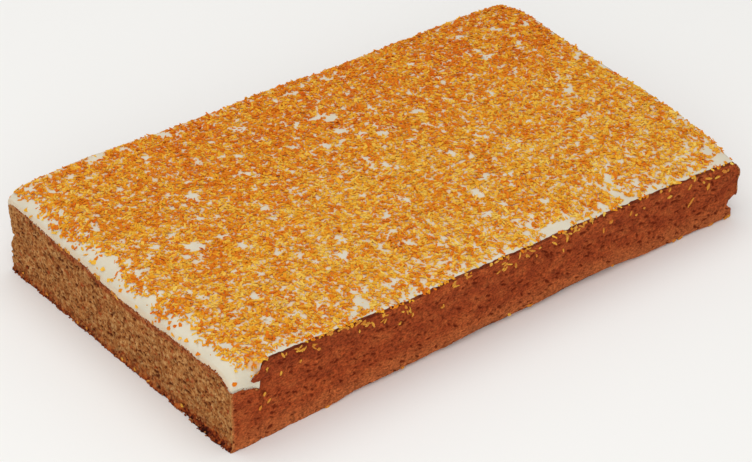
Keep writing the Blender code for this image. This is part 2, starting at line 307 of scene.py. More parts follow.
def ringQuads(rows, columns):  # rings of points joined up with quads
    ring = np.arange(rows * columns).reshape(rows, columns)
    after = np.roll(ring, -1, 1)
    return np.stack([ring[:-1], after[:-1], after[1:], ring[1:]], -1).reshape(-1, 4)


def fan(first, around, tip, under=False):  # a ring closed with triangles to a tip, facing down if it is under
    ring = first + np.arange(around)
    edges = [ring, np.roll(ring, -1)]
    return np.stack((edges[::-1] if under else edges) + [np.full(around, tip)], -1)


def perimeter(columns):  # places round the slab, with the side and the share along it of each
    corners = np.array([(0, 0), (1, 0), (1, 1), (0, 1), (0, 0)]) * (length, width)
    side = np.repeat(np.arange(4), columns)
    share = np.concatenate([np.arange(count) / count for count in columns])
    u, v = blend(corners[side], corners[side + 1], share[:, None]).T
    return u, v, side, share


def inset(u, v, distance):  # places on the perimeter drawn in by a distance
    return blend(distance, length - distance, u / length), blend(distance, width - distance, v / width)


def turned(a, b, angle):  # an offset measured along a direction and across it
    return a * math.cos(angle) + b * math.sin(angle), b * math.cos(angle) - a * math.sin(angle)


# presses rounded hollows, most of them small, into a field over the place round the slab and the height
def pressPits(draw, field, place, z, start, end, many, long, tall, deep, lean):
    top = slab["icingAtCut"]
    for _ in range(round((end - start) * top / 100 * many)):
        size = draw.random() ** 2.2
        at, height, halfLong = draw.uniform(start, end), draw.uniform(0.6, top), blend(*long, size)
        halfTall = blend(*tall, draw.random() * size)
        low, high = np.searchsorted(place, [at - halfLong, at + halfLong])
        onward, up = turned(place[low:high] - at, z[:, low:high] - height, draw.gauss(lean, 0.35))
        hollow = blend(*deep, size) * np.sqrt(clamp(1 - (onward / halfLong) ** 2 - (up / halfTall) ** 2))
        field[:, low:high] = np.maximum(field[:, low:high], hollow)


def buildSponge(crust, crumb):
    draw = random.Random(sponge["seed"])
    columns, wallRows = sponge["columns"], sponge["wallRows"]
    u, v, side, share = perimeter(columns)
    around = len(u)
    place = np.hypot(np.diff(u, prepend=0), np.diff(v, prepend=0)).cumsum()
    atCut = side == 3

    # the wall, from the base to the rim
    wall = np.linspace(0, 1, wallRows)[:, None]
    base = baseHeight(u, v) + np.maximum(0, lumps(sponge["baseNicks"], u, v, 7)) * (~atCut)
    nicks = lumps(sponge["rimNicks"], u, v, 3)
    top = spongeTop(u, v) + nicks
    z = blend(base, top, wall)
    fade = clamp((wall - sponge["cragsTo"]) / (1 - sponge["cragsTo"]))
    reach = blend(slab["sideReach"], slab["rimReach"], fade)
    u, v = u[None], v[None]
    footShare = clamp(0.8 + lumps(sponge["footRagged"], u, v, z))
    points = [slabPoint(np.repeat(u, wallRows, 0), np.repeat(v, wallRows, 0), z, reach, footShare)]
    for distance in reversed(sponge["undersideInsets"]):
        a, b = inset(u, v, distance)
        points.insert(0, slabPoint(a, b, baseHeight(a, b) * (distance > 2), slab["sideReach"]))
    for distance in sponge["rimInsets"]:
        a, b = inset(u, v, distance)
        points.append(slabPoint(a, b, spongeTop(a, b) + nicks * (distance < 1), slab["rimReach"]))
    points = np.concatenate(points)
    rows = len(points)
    first = len(sponge["undersideInsets"])

    # relief, pushed out along the way each place faces
    across = np.roll(points, -1, 1) - np.roll(points, 1, 1)
    facing = unit(np.cross(across, np.gradient(points, axis=0)))
    crustRelief = lumps(sponge["crustGrain"], u, v, sponge["grainStretch"] * z)
    crumbRelief = lumps(sponge["crumbGrain"], u, v, z)
    pits, carrot = np.zeros(z.shape), np.zeros(z.shape)
    for number in range(4):
        span = place[side == number][[0, -1]]
        for kind in sponge["cutPits"] if number == 3 else sponge["crustPits"]:
            pressPits(draw, carrot if kind == "carrotBits" else pits, place, z, *span, *sponge[kind])
    relief = np.where(atCut, crumbRelief, crustRelief) - pits
    relief *= smooth(top - z)  # none at the rim, which keeps its line
    points[first:first + wallRows] += facing[first:first + wallRows] * relief[..., None]
    points[..., 2] = np.maximum(points[..., 2], 0)

    # how toasted and pale the cut and its edges are, and the painted shade on the crust below its rim
    ragged = lumps(sponge["ragged"], u, v, z)
    nearCorner = hump(v, *sponge["nearCorner"])
    low, more = sponge["toastedFoot"]
    foot = low + more * nearCorner + 0.9 * grain(9, u, v)
    toasted = smooth((foot - z) / 1.4 + 0.5 + ragged) * (0.66 + 0.34 * nearCorner)
    low, more = sponge["brownedFoot"]
    browned = smooth((low + more * smooth((110 - v) / 60) - z) / 4 + 0.6 * ragged)
    toasted = np.maximum(toasted, 0.3 * browned)
    low, more, less = sponge["skinDepth"]
    skinDepth = low + more * smooth((v - 30) / 18) - less * smooth((v - 142) / 18) + 0.7 * grain(14, u, v)
    skin = smooth((skinDepth - (top - z)) / 1.8 + 0.3 + 0.8 * ragged)
    edge = 0.9 * smooth((sponge["paleEdge"] - np.minimum(v, width - v)) / 1.2 + 0.3 + 0.8 * ragged)
    torn = 0.9 * smooth((sponge["tornCorner"] - np.minimum(np.hypot(u, v), 9)) / 1.4 + 0.6 * ragged)
    depth = np.maximum(0, top - z + 1.3 * grain(6, u, v, z))
    nearCut, past = along(sponge["rimShadeNearCut"], depth), along(sponge["rimShadeFarOn"], depth)
    dark = blend(past, nearCut, along(sponge["rimShadeAlong"], u))
    values = {"pit": pits / 0.6, "dark": clamp(dark), "carrotBit": carrot, "toasted": toasted * atCut,
              "skin": skin * atCut, "cutEdge": np.where(atCut, edge, torn), "rise": z - base,
              "underRim": top - z + 0.3 * grain(2.2, u, v, z)}

    # faces: rings joined up, a fan closing the underside and the hollow's floor, and the tongue
    count = rows * around
    tongue, tongueQuads, tongueTips = buildRag(sponge["tongue"], count + 2)
    triangles = np.concatenate([
        fan(0, around, count, True), fan(count - around, around, count + 1), tongueTips])
    padding = ((first, rows - first - wallRows), (0, 0))
    # the tongue lies in the painted shade below the rim
    plain = {"rise": 30, "underRim": 1.4, "dark": 0.48}  # the tongue's own values
    for key, value in values.items():
        value = np.pad(value, padding, mode="edge").ravel()
        values[key] = np.concatenate([value, (1, 1), np.full(len(tongue), plain.get(key, 0))])
    slots = np.concatenate([np.tile(atCut, rows - 1), np.zeros(len(tongueQuads) + len(triangles))])
    centres = [[0, 0, 0], [0, 0, floorHeight(length / 2, width / 2)]]
    points = np.concatenate([points.reshape(-1, 3), centres, tongue])
    quads = np.concatenate([ringQuads(rows, around), tongueQuads])
    places = np.concatenate([
        bakeStrips(rows, side, share, columns), bakePatch(len(tongueQuads), 0.9),
        bakeFan(around, 0.25), bakeFan(around, 0.75), bakePatch(len(tongueTips), 0.97, 3)])
    return meshPiece("cakeSponge", points, quads, triangles, places, (crust, crumb), values, slots)


def buildRag(rag, firstIndex):  # a rounded rag lying on the front crust: its points, quads and triangles
    stations, section = 22, 12
    share = np.linspace(0, 1, stations)[:, None]
    u = blend(rag["middle"][0][0], rag["middle"][-1][0], share)
    angle = np.arange(section)[None] * math.tau / section
    tip = np.sqrt(clamp(share * 9 + 0.2))
    z = along(rag["middle"], u) + along(rag["tall"], u) * tip * np.sin(angle)
    z = z + lumps(rag["wobble"], u, 0, z) * np.abs(np.sin(angle)) * tip
    v = along(rag["out"], u) - rag["thick"] * tip * np.cos(angle) * np.abs(np.cos(angle)) ** -0.4
    points = slabPoint(u + 0 * v, 0 * v, z, slab["sideReach"])
    points[..., 1] += v
    points = points.reshape(-1, 3)
    quads = ringQuads(stations, section)[:, ::-1]
    tips = np.array([points[:section].mean(0), points[-section:].mean(0)])
    count = len(points)
    triangles = [fan(0, section, count), fan(count - section, section, count + 1, True)]
    return np.concatenate([points, tips]), quads + firstIndex, np.concatenate(triangles) + firstIndex


icing = {
    "cutRound": 12,  # how far from the cut its top begins to round down
    "proud": 0.3,  # how far the icing stands above the rim's line
    "lip": 0.9,
    "hang": 0.4,  # how far its edge hangs over the sponge's
    "edge": 0.55,  # bare rim left outside it
    "edgeBack": 0.05,  # it covers most of the back's rim
    "edgeWobble": [(0.48, 6.5)],
    "spillOut": 0.45,
    "spillRound": 7,
    "spillTo": 15.4,  # the icing hangs over the front up to here
    "turn": 1.6,
    "edgeRound": 1.1,
    "edgeDrop": 0.45,
    "waves": [(0.22, 11), (0.10, 4.5)],
    "edgeSteps": [0, 0.08, 0.25, 0.5, 0.8, 1.15],  # its grid is finest at its edges
    "cutStep": 0.42,  # fine near the cut
    "cutStepTo": 20,
    "step": 1.2,  # and coarser elsewhere
    "stainFull": 0.9,  # carrot this deep stains the icing fully
    "stainSpread": 3,  # steps by which the stain spreads to the small gaps
    "stainIn": 8,  # its bare end at the cut stays clean
    "stainAtCut": 0.42,
    "stainAtCutReach": 1.3,
}


def spilt(u):  # 1 where the icing hangs over the front, 0 from where the rim holds it
    return 1 - smooth((u - icing["spillTo"]) / icing["turn"])


def icingHeight(u, v):
    top = topHeight(u, v) + icing["proud"] + lumps(icing["waves"], u, v, 5)
    broken = smooth((slab["brokenTo"] - u) / slab["brokenSoft"])
    atFront = broken * near(v + icing["spillOut"], icing["spillRound"])
    frontLip = frontEdge(u) + blend(icing["proud"], icing["lip"], spilt(u))
    top = blend(frontLip, top, np.sqrt(1 - atFront**2))
    lip = np.minimum(floorHeight(u, v), frontLip + 3 * np.maximum(v, 0)) + icing["lip"]
    return blend(lip, top, np.sqrt(1 - near(u, icing["cutRound"]) ** 2))


def edgeIn(u, v, seed):  # how far in from a baked side the icing stops
    return icing["edge"] + lumps(icing["edgeWobble"], u, v, seed)


def buildIcing(cream, pile):
    fine, step, nearTo = np.array(icing["edgeSteps"]), icing["step"], icing["cutStepTo"]
    rest = np.linspace(nearTo, length - 1.2, int((length - nearTo - 1) / step))
    nearCut = np.arange(1.55, nearTo, icing["cutStep"])
    lengthwise = np.concatenate([fine, nearCut, rest, length - fine[3::-1]])
    middle = np.linspace(1.8, width - 1.8, int((width - 3) / step))
    widthwise = np.concatenate([fine, middle, width - fine[::-1]])
    u, v = np.meshgrid(lengthwise, widthwise, indexing="ij")
    onFront = 1 - spilt(u)
    front = blend(-icing["spillOut"], edgeIn(u, 0, 1), onFront)
    v = v + front * near(v, slab["edgeReach"])
    back = edgeIn(u, width, 2) - icing["edge"] + icing["edgeBack"]
    v = v - back * near(width - v, slab["edgeReach"])
    u = u - edgeIn(length, v, 4) * near(length - u, slab["edgeReach"]) - 0.15 * near(u, 5)
    z = icingHeight(u, v)
    inward = np.minimum(np.where(onFront > 0.5, v - front, 9), width - v - icing["edgeBack"])
    inward = np.minimum(inward, length - u - icing["edge"])
    z = z - icing["edgeDrop"] * (1 - np.sqrt(1 - near(np.maximum(inward, 0), icing["edgeRound"]) ** 2))
    top = slabPoint(u, v, z, slab["rimReach"])
    rows, columns = u.shape
    grid = np.arange(u.size).reshape(u.shape)
    quads = np.stack([grid[:-1, :-1], grid[1:, :-1], grid[1:, 1:], grid[:-1, 1:]], -1).reshape(-1, 4)

    # the edge turned under, and the underside closed
    border = np.concatenate([grid[:-1, 0], grid[-1, :-1], grid[:0:-1, -1], grid[0, :0:-1]])
    a, b, height = u.ravel()[border], v.ravel()[border], z.ravel()[border]
    onRim = np.where(border % columns == 0, onFront.ravel()[border], 1.0)
    onRim = np.where(border < columns, 0, onRim)
    spongeEdge = spongeTop(np.maximum(a, 0), np.clip(b, 0, width))
    hang = icing["hang"] + grain(3.4, a, b, 9) + grain(1.3, a, b, 4)
    low = blend(spongeEdge - hang, height - 0.3, onRim)
    rings = [slabPoint(a, b, np.minimum(low, height - 0.1), slab["rimReach"])]
    for distance, drop in ((0.9, 0.5), (4.2, 99)):
        inA, inB = inset(a, b, distance)
        under = np.maximum(blend(spongeEdge, height - drop, onRim), floorHeight(inA, inB) + 0.25)
        rings.append(slabPoint(inA, inB, np.minimum(under, height - 0.2), slab["rimReach"]))
    around, flat = len(border), top.reshape(-1, 3)
    ringStart = len(flat)
    points = np.concatenate([flat] + rings + [[[0, 0, floorHeight(length / 2, width / 2) + 0.3]]])
    ring = ringStart + np.arange(around)
    skirt = np.stack([border, ring, np.roll(ring, -1), np.roll(border, -1)], -1)
    lower = ringQuads(len(rings), around)[:, ::-1] + ringStart
    centre = fan(ringStart + (len(rings) - 1) * around, around, len(points) - 1, True)
    inside = smooth((u - icing["stainIn"]) / 5) * smooth(v / 2)
    stain = clamp(inside * pileAt(pile, u, v) / icing["stainFull"])
    atCut = icing["stainAtCut"] * near(u, icing["stainAtCutReach"])  # smeared by the sponge
    stain = np.maximum(stain, atCut).ravel()
    stain = np.concatenate([stain, np.tile(stain[border], len(rings)), [0]])
    a, b = np.indices((rows - 1, columns - 1)) / np.array([rows, columns / 0.6])[:, None, None]
    left = np.arange(around) / around
    places = [squares(a, b, a + 1 / rows, b + 0.6 / columns)]
    for start, end in ((0.66, 0.62), (0.67, 0.71), (0.72, 0.76)):  # a strip for each ring
        places.append(squares(start, left, end, left + 1 / around)[:, ::-1])
    places = np.concatenate([*places, bakeFan(around, 0.5)])
    quads = np.concatenate([quads, skirt, lower])
    return meshPiece("creamIcing", points, quads, centre, places, [cream], {"stain": stain})


flakes = {
    "cell": 1.06,  # one flake falls in each cell of this size
    "long": (1.2, 3.5),
    "wide": (0.95, 1.9),
    "thick": (0.22, 0.42),
    "mapStep": 0.6,  # grid that keeps the pile's height
    "mapMargin": 4,
    "pressed": 0.3,  # how far the lowest flakes sink into the icing
    "mostTilt": 0.3,  # slope
    "settled": 0.7,  # share by which soft shreds sink into the gaps below them
    "bendsFrom": 1.5,  # half length from which a flake has more sections and bends
    "bend": 0.2,
    "curl": 0.12,
    "standing": 0.05,  # share of the flakes that stick up
    "most": 0.98,  # highest share of cells that hold a flake
    # gaps: their size, the noise's level, where they begin, how soft their edge is and how bare they are
    "gaps": [(6.5, 21, 0.43, 0.12, 0.85), (3.0, 33, 0.38, 0.08, 0.95), (1.9, 47, 0.42, 0.08, 0.95)],
    "start": [(0, 3.5), (10, 4), (24, 4), (31, 2), (40, 7), (60, 0), (73, 3), (84, 0.5), (94, 3), (104, 8.5),
              (130, 1.5), (156, 2), (166, 5), (182, 1)],  # flakes begin this far in
    "lacyTo": 42,  # the pile is lacy up to here from the front
    "lacyFrom": 190,  # and more so past here along the slab
    "lacy": (0.5, 0.25, 0.09),  # how much, how much more, and how much in the rest of the front half
    "strays": 0.04,  # share of cells that hold one before that
    "strayLong": (2.2, 4.0),
    "strayWide": (1.95, 2.7),
    "barePatches": [(194, 4, 6, 3, 0), (241, 18, 4, 1.6, 60), (81, 9, 5, 3, 100), (43, 89, 4, 2.4, 55),
                    (176, 115, 4, 1.5, 160), (164, 141, 3.5, 2.2, 20), (88, 179, 4, 2, 160),
                    (303, 4, 6, 2, 15), (31, 0.5, 8, 1, 0)],  # along, across, half sizes and turn
    "patchy": 0.42,  # share of a flake's tint that it has in common with its neighbours
    "paler": [(0, 0.1), (30, 0.1), (75, 0.08), (110, 0), (150, -0.08), (182, -0.08)],  # from front to back
    "palerAtCut": 0.04,
    "seed": 5,
}


def coverage(u, v):  # chance that a flake lies at a place
    cover = flakes["most"]
    for size, level, start, soft, bare in flakes["gaps"]:
        cover = cover - bare * smooth((grain(size, u, v, level) - start) / soft)
    much, more, rest = flakes["lacy"]
    lacy = near(v, flakes["lacyTo"]) * (much + more * smooth((u - flakes["lacyFrom"]) / 60))
    lacy = np.maximum(lacy, rest * smooth((135 - v) / 30))
    cover = cover - lacy * smooth((grain(2.7, u, v, 41) - 0.05) / 0.12)
    for atU, atV, halfLong, halfShort, degrees in flakes["barePatches"]:
        onward, across = turned(u - atU, v - atV, math.radians(degrees))
        cover = cover - 0.95 * smooth(2.2 - 2 * np.hypot(onward / (halfLong + 1), across / (halfShort + 1)))
    # stretches of the front's edge and bits of the far one stay bare, and the pile begins raggedly at the cut
    cover = cover * (1 - 0.9 * smooth(near(v, 2.6) * 1.6) * smooth((grain(7, u, v, 12) + 0.12) / 0.2))
    cover = cover * smooth((length - u + 0.4 + 1.5 * grain(5, u, v, 61)) / 2)
    start = along(flakes["start"], v) + 1.6 * grain(3.0, u, v, 55)
    cover = cover * smooth((u - start) / 5 + 0.35) + flakes["strays"] * (u > 0.3) * (u < start)
    return np.minimum(cover, 0.99)


def pileFlakes():  # drops the flakes one by one on the pile; gives each one's place and shape, and the pile
    draw = random.Random(flakes["seed"])
    cell, step, margin = flakes["cell"], flakes["mapStep"], flakes["mapMargin"]
    u, v = np.meshgrid(np.arange(-margin, length + margin, step), np.arange(-margin, width + margin, step),
                       indexing="ij")
    columns, rows = u.shape
    insideU, insideV = np.clip(u, 0, length - 0.6), np.clip(v, 0.4, width - 0.6)
    outside = np.hypot(u - insideU, v - insideV)
    ground = icingHeight(insideU, insideV) - 1.6 * outside - flakes["pressed"]
    slopeU, slopeV = np.gradient(ground, step)
    height = ground.ravel().tolist()
    places = np.array([(atU + draw.uniform(0, cell), atV + draw.uniform(0, cell))
                       for atU in np.arange(0.3, length, cell)
                       for atV in np.arange(-0.1, width + 0.4, cell)])
    places = places[(places[:, 0] < length - 0.2) & (places[:, 1] < width + 0.4)]
    cover = coverage(*places.T)
    stray = places[:, 0] < along(flakes["start"], places[:, 1]) - 1
    places = np.column_stack([places, stray])
    chosen = places[[draw.random() < share for share in cover]].tolist()
    draw.shuffle(chosen)
    laid = []
    for atU, atV, lone in chosen:
        heading = draw.uniform(0, math.tau)
        forwardU, forwardV = math.cos(heading), math.sin(heading)
        halfLong = blend(*flakes["strayLong" if lone else "long"], draw.random() ** 1.7) / 2
        wide = blend(*flakes["strayWide" if lone else "wide"], draw.random() ** 1.5)
        thick = blend(*flakes["thick"], draw.random())
        spots = []
        for share in (-0.85, -0.4, 0, 0.4, 0.85):  # it touches the pile at five pairs of places
            reach = share * halfLong
            for sideways in (-0.3 * wide, 0.3 * wide):
                i = round((atU + forwardU * reach - forwardV * sideways + margin) / step)
                j = round((atV + forwardV * reach + forwardU * sideways + margin) / step)
                i, j = min(max(i, 0), columns - 1), min(max(j, 0), rows - 1)
                spots.append((reach, i * rows + j))
        behind = max(height[spot] for reach, spot in spots[:4])
        ahead = max(height[spot] for reach, spot in spots[6:])
        tilt = (ahead - behind) / (1.2 * halfLong)
        tilt = max(-flakes["mostTilt"], min(flakes["mostTilt"], tilt))
        levels = [height[spot] - tilt * reach for reach, spot in spots]
        rest = blend(max(levels), sum(levels) / len(levels), flakes["settled"])
        for reach, spot in spots:
            height[spot] = max(height[spot], rest + tilt * reach + 0.8 * thick)
        extra = 0.0
        if draw.random() < flakes["standing"]:
            extra = draw.uniform(0.3, 1.1) * draw.choice((-1, 1))
        i, j = round((atU + margin) / step), round((atV + margin) / step)
        laid.append((atU, atV, rest + thick * 0.3 + abs(extra) * halfLong * 0.5, forwardU, forwardV,
                     tilt + extra, slopeU[i, j], slopeV[i, j], halfLong, wide, thick, draw.gauss(0, 0.22),
                     draw.uniform(-1, 1), draw.uniform(-0.4, 1), draw.random()))
    pile = np.array(height).reshape(u.shape) - ground
    for _ in range(icing["stainSpread"]):
        beside = [np.roll(pile, shift, axis) for shift in (1, -1) for axis in (0, 1)]
        pile = (pile + sum(beside)) / 5
    return np.array(laid), pile


def pileAt(pile, u, v):  # the pile's height over the icing
    i, j = [np.clip(np.rint((place + flakes["mapMargin"]) / flakes["mapStep"]).astype(int), 0, count - 1)
            for place, count in zip((u, v), pile.shape)]
    return pile[i, j]


# flat bent chips, from their middles, axes and sizes: the shorter narrow ones have blunter ends
def chipMeshes(shape, sections, draw):
    centres, forward, up, halfLong, wide, thick, bend, curl = shape
    count = len(centres)
    side = unit(np.cross(up, forward))
    up = np.cross(forward, side)
    corner = np.array([(-0.5, -0.5), (0.5, -0.5), (0.5, 0.5), (-0.5, 0.5)])
    s = np.repeat(np.linspace(-1, 1, sections), 4)[None]
    blunt = (wide <= flakes["wide"][1]) & (sections < 4)
    taper = np.where(blunt, 0.3, 0.6)[:, None]
    fat = 1 - taper * s**2 + draw.uniform(-0.16, 0.16, (count, s.size))
    bent, curled = flakes["bend"] * bend[:, None] * s**2, flakes["curl"] * curl[:, None] * s**2
    across = np.tile(corner[:, 0], sections) * fat * wide[:, None] + bent
    tall = np.tile(corner[:, 1], sections) * (fat + 0.1) * thick[:, None] - curled
    onward = (s + draw.uniform(-0.14, 0.14, (count, s.size))) * halfLong[:, None]
    points = centres[:, None] + onward[..., None] * forward[:, None] + across[..., None] * side[:, None]
    points = points + tall[..., None] * up[:, None]
    last = 4 * sections - 4
    ends = [(0, 1, 2, 3), (last + 3, last + 2, last + 1, last)]
    quads = np.concatenate([ringQuads(sections, 4)[:, [0, 3, 2, 1]], ends])
    quads = quads + (np.arange(count) * 4 * sections)[:, None, None]
    # the chip unwrapped on its own little square of the picture: its sides, then its ends
    left, low = 0.2 + 0.6 * np.arange(sections - 1)[:, None] / (sections - 1), 0.1 + 0.2 * np.arange(4)
    places = np.concatenate([squares(left, low, left + 0.6 / (sections - 1), low + 0.2),
                             squares(0.03, 0.2, 0.17, 0.8), squares(0.83, 0.2, 0.97, 0.8)])
    return points.reshape(-1, 3), quads.reshape(-1, 4), places.reshape(-1, 4, 2)


# one mesh of all the flakes of a kind, with so many sections for its small and its large ones
def flakePiece(name, shape, tint, material, short=2, long=3, lowest=-99):
    draw = np.random.default_rng(len(tint))
    picture = math.ceil(math.sqrt(len(tint)))
    large = (shape[3] > flakes["bendsFrom"]) | (shape[4] > flakes["wide"][1])
    parts, first = [], 0
    for sections, chosen in ((short, ~large), (long, large)):
        points, quads, unwrapped = chipMeshes([part[chosen] for part in shape], sections, draw)
        number = np.nonzero(chosen)[0]
        cell = np.stack([number % picture, number // picture], -1)[:, None, None]
        parts.append((points, quads + first, np.repeat(tint[chosen], 4 * sections),
                      ((cell + unwrapped) / picture).reshape(-1, 2)))
        first += len(points)
    points, quads, tints, places = [np.concatenate(part) for part in zip(*parts)]
    points[:, 2] = np.maximum(points[:, 2], lowest)
    piece = meshPiece(name, points, quads, np.zeros((0, 3)), places, [material], {"tint": tints})
    piece.data.set_sharp_from_angle(angle=math.radians(50))
    return piece


def buildTopFlakes(rows, materials):
    (atU, atV, z, forwardU, forwardV, tilt, slopeU, slopeV,
     halfLong, wide, thick, roll, bend, curl, tint) = rows.T
    x = atU + farSwell(atU, atV) - length / 2
    y = atV + backFlare(atU, atV, z) - width / 2
    centres = np.stack([x, y, z], -1)
    forward = unit(np.stack([forwardU, forwardV, tilt], -1))
    up = unit(np.stack([-slopeU, -slopeV, np.ones(len(rows))], -1))
    side = unit(np.cross(up, forward))
    up = unit(np.cross(forward, side) + side * np.tan(np.clip(roll, -1, 1))[:, None])
    drift = 0.5 + 0.35 * grain(14, atU, atV, 8) + 1.2 * grain(3.6, atU, atV, 8)
    paler = blend(flakes["palerAtCut"], along(flakes["paler"], atV), smooth((atU - 20) / 60))
    score = blend(tint, clamp(drift), flakes["patchy"]) + paler
    names = ("deepCarrotFlakes", "orangeCarrotFlakes", "amberCarrotFlakes", "paleCarrotFlakes")
    bounds = np.quantile(score, np.linspace(0, 1, len(names) + 1))
    kind = np.clip(np.searchsorted(bounds, score) - 1, 0, len(names) - 1)
    pieces = []
    for number, name in enumerate(names):
        own = kind == number
        low, high = bounds[number], bounds[number + 1]
        shape = [part[own] for part in (centres, forward, up, halfLong, wide, thick, bend, curl)]
        pieces.append(flakePiece(name, shape, (score[own] - low) / (high - low), materials[number]))
        print(name, own.sum(), "flakes", 2 * len(pieces[-1].data.polygons), "triangles")
    return pieces


# the way along each face and the way out of it, for things that are caught there
faces = {
    "front": ((1, 0, 0), (0, -1, 0)),
    "cut": ((0, 1, 0), (-1, 0, 0)),
    "farEdge": ((0.7, 0.7, 0), (0.7, -0.7, 0)),
}


def spread(draw, start, end, many):  # places strewn evenly from one end to the other
    for n in range(many):
        yield start + (end - start) * (n + draw.random()) / many


# chips lying on the slab's sides, from spots that give face, u, v, height, turn, half length and
# the kind's own sizes
def caughtPiece(name, spots, seed, material):
    draw = random.Random(seed)
    rows = []
    for face, u, v, z, turn, halfLong, (_, wide, thick, proud) in spots:
        onward, out = np.array(faces[face])
        centre = slabPoint(u, v, z, slab["sideReach"]) + proud * out
        forward = math.cos(turn) * onward + (0, 0, math.sin(turn)) + draw.uniform(-0.2, 0.2) * out
        rows.append((*centre, *forward, *out, halfLong, draw.uniform(*wide), draw.uniform(*thick),
                     draw.uniform(-1, 1), draw.uniform(-0.5, 1), draw.random()))
    rows = np.array(rows)
    shape = [rows[:, :3], unit(rows[:, 3:6]), rows[:, 6:9], *rows[:, 9:14].T]
    return flakePiece(name, shape, rows[:, 14], material, short=4, long=6, lowest=0.05)


fallen = {
    "lone": [(18.3, 24.9, 1.2, 1.1), (20.4, 20.4, 0.9, 1.4), (15.7, 18.2, 1.0, 1.3), (19.0, 37.6, 0.7, 1.9),
             (15.9, 38.6, 0.3, 2.0), (27.6, 32.4, 1.3, 1.1), (39, 33.7, 1.1, 0.9), (37.6, 40.1, 0.2, 1.2),
             (221.9, 28.6, 1.5, 1.4), (226.6, 31.8, 0.4, 1.3), (243.8, 28.3, 0, 0.8), (249.2, 30, 0, 0.8),
             (259.7, 35.4, 1.3, 1.0), (265.6, 30.1, 0.1, 1.5), (279.5, 29.8, 1.0, 1.9),
             (280.3, 20.6, 1.0, 2.9), (282.5, 33.5, 1.2, 1.4), (291.3, 30.5, -0.3, 2.6),
             (291.7, 25.5, 1.3, 1.8), (297.7, 28.8, 0.1, 1.7), (301.9, 30.3, -0.6, 2.2),
             (307.2, 0.9, 0.2, 2.6), (295.8, 0.9, 0.1, 2.0), (275.9, 1.0, 0.3, 1.6), (271.3, 1.2, 0.2, 1.2),
             (54, 0.6, 0.1, 1.4), (99, 1.7, 0.1, 1.2), (164.5, 2.9, -0.8, 1.3), (177.5, 2.6, -0.1, 1.6),
             (231, 3.0, 0.3, 0.9), (308.5, 0.8, 0.3, 1.2)],  # on the front: u, height, turn and half length
    # caught in bunches under the front's rim: u, depth below the rim and how many
    "bunches": [(30, 2.2, 2), (40, 2.9, 5), (47, 3.4, 3), (56, 0.8, 3), (62, 0.8, 2), (73, 1.5, 5),
                (78, 4, 5), (86, 5.5, 2), (88, 2.2, 1), (96, 11, 1), (102, 6.7, 5), (122, 13, 2),
                (129, 4.5, 4), (138, 2.3, 2), (154, 1, 1), (156, 7.5, 1), (160, 5, 5), (162, 1.4, 2),
                (168, 8, 2), (173, 4.5, 4), (175, 0.8, 2), (181, 7.5, 1), (191, 4.7, 1), (197, 11.3, 1),
                (200, 3, 5), (205, 1.1, 4), (210, 0.9, 3), (215, 0.8, 2)],
    "underRim": 18,
    "cutFoot": 8,
    "onSkin": [(137, 2), (131, 3), (121, 1), (106, 4), (92, 4), (64, 1)],  # on the cut: v and how many
    # half length, width and thickness of each kind, and how far its middle stands off the crust
    "strand": ((0.8, 2.1), (0.6, 1.2), (0.3, 0.6), 0.12),
    "small": ((0.7, 1.5), (1.0, 1.8), (0.3, 0.6), 0.12),
    "large": ((0.8, 1.8), (1.2, 2.3), (0.4, 0.7), 0.1),
    "seed": 9,
}


def buildFallenFlakes(material):  # flakes caught on the front crust, at its foot and on the cut
    draw = random.Random(fallen["seed"])
    strand, small, large = fallen["strand"], fallen["small"], fallen["large"]
    spots = [("front", u, 0, z, turn, halfLong, small) for u, z, turn, halfLong in fallen["lone"]]

    def catch(face, u, v, z, turn, sizes):
        spots.append((face, u, v, z, draw.uniform(-turn, turn), draw.uniform(*sizes[0]), sizes))

    for at, depth, many in fallen["bunches"]:
        for _ in range(many):
            u = draw.gauss(at, 0.4 * many)
            catch("front", u, 0, topHeight(u, 0) - max(0.3, draw.gauss(depth, 0.25 * many)), 1.5, strand)
    for u in spread(draw, 20, length - 4, fallen["underRim"]):
        catch("front", u, 0, topHeight(u, 0) - 0.3 - 6 * draw.random() ** 2.4, 1.2, small)
    for v in spread(draw, 30, width - 4, fallen["cutFoot"]):
        catch("cut", 0, v, draw.uniform(0.9, 2.8), 0.9, small)
    for at, many in fallen["onSkin"]:
        for _ in range(many):
            v = draw.gauss(at, 1.7)
            catch("cut", 0, v, floorHeight(0, v) - draw.uniform(-1, 1.1), 1.4, large)
    return caughtPiece("fallenCarrotFlakes", spots, fallen["seed"], material)


crumbs = {
    "underIcing": 520,
    "cutFoot": 150,
    "cornerRim": 34,
    "farEdge": 40,
    # as for the fallen flakes
    "small": ((0.25, 0.7), (0.5, 1.2), (0.4, 0.8), 0.05),
    "large": ((0.4, 1.0), (0.7, 1.3), (0.6, 1.0), -0.15),
    "fewFrom": 140,  # the sponge's top is paler and cleaner from here to the back
    "seed": 4,
}


def buildCrumbs(material):  # loose crumbs of sponge along the icing at the cut and at broken edges
    draw = random.Random(crumbs["seed"])
    small, large = crumbs["small"], crumbs["large"]
    spots = []
    for v in spread(draw, 2, width - 4, crumbs["underIcing"]):
        if v < crumbs["fewFrom"] or draw.random() < 0.35:
            spots.append(("cut", 0, v, floorHeight(0, v) + draw.gauss(-0.5, 0.4), small))
    for _ in range(crumbs["cutFoot"]):
        spots.append(("cut", 0, draw.uniform(1, width - 1), draw.random() ** 2 * 3.5, small))
    for u in spread(draw, 0, 16, crumbs["cornerRim"]):
        spots.append(("front", u, 0, frontEdge(u) + draw.gauss(-0.9, 0.3), small))
    for z in spread(draw, 13, 31, crumbs["farEdge"]):
        spots.append(("farEdge", length, 0, z, large))
    spots = [(*spot, draw.uniform(-1.5, 1.5), blend(*sizes[0], draw.random() ** 2), sizes)
             for *spot, sizes in spots]
    return caughtPiece("looseCrumbs", spots, crumbs["seed"], material)


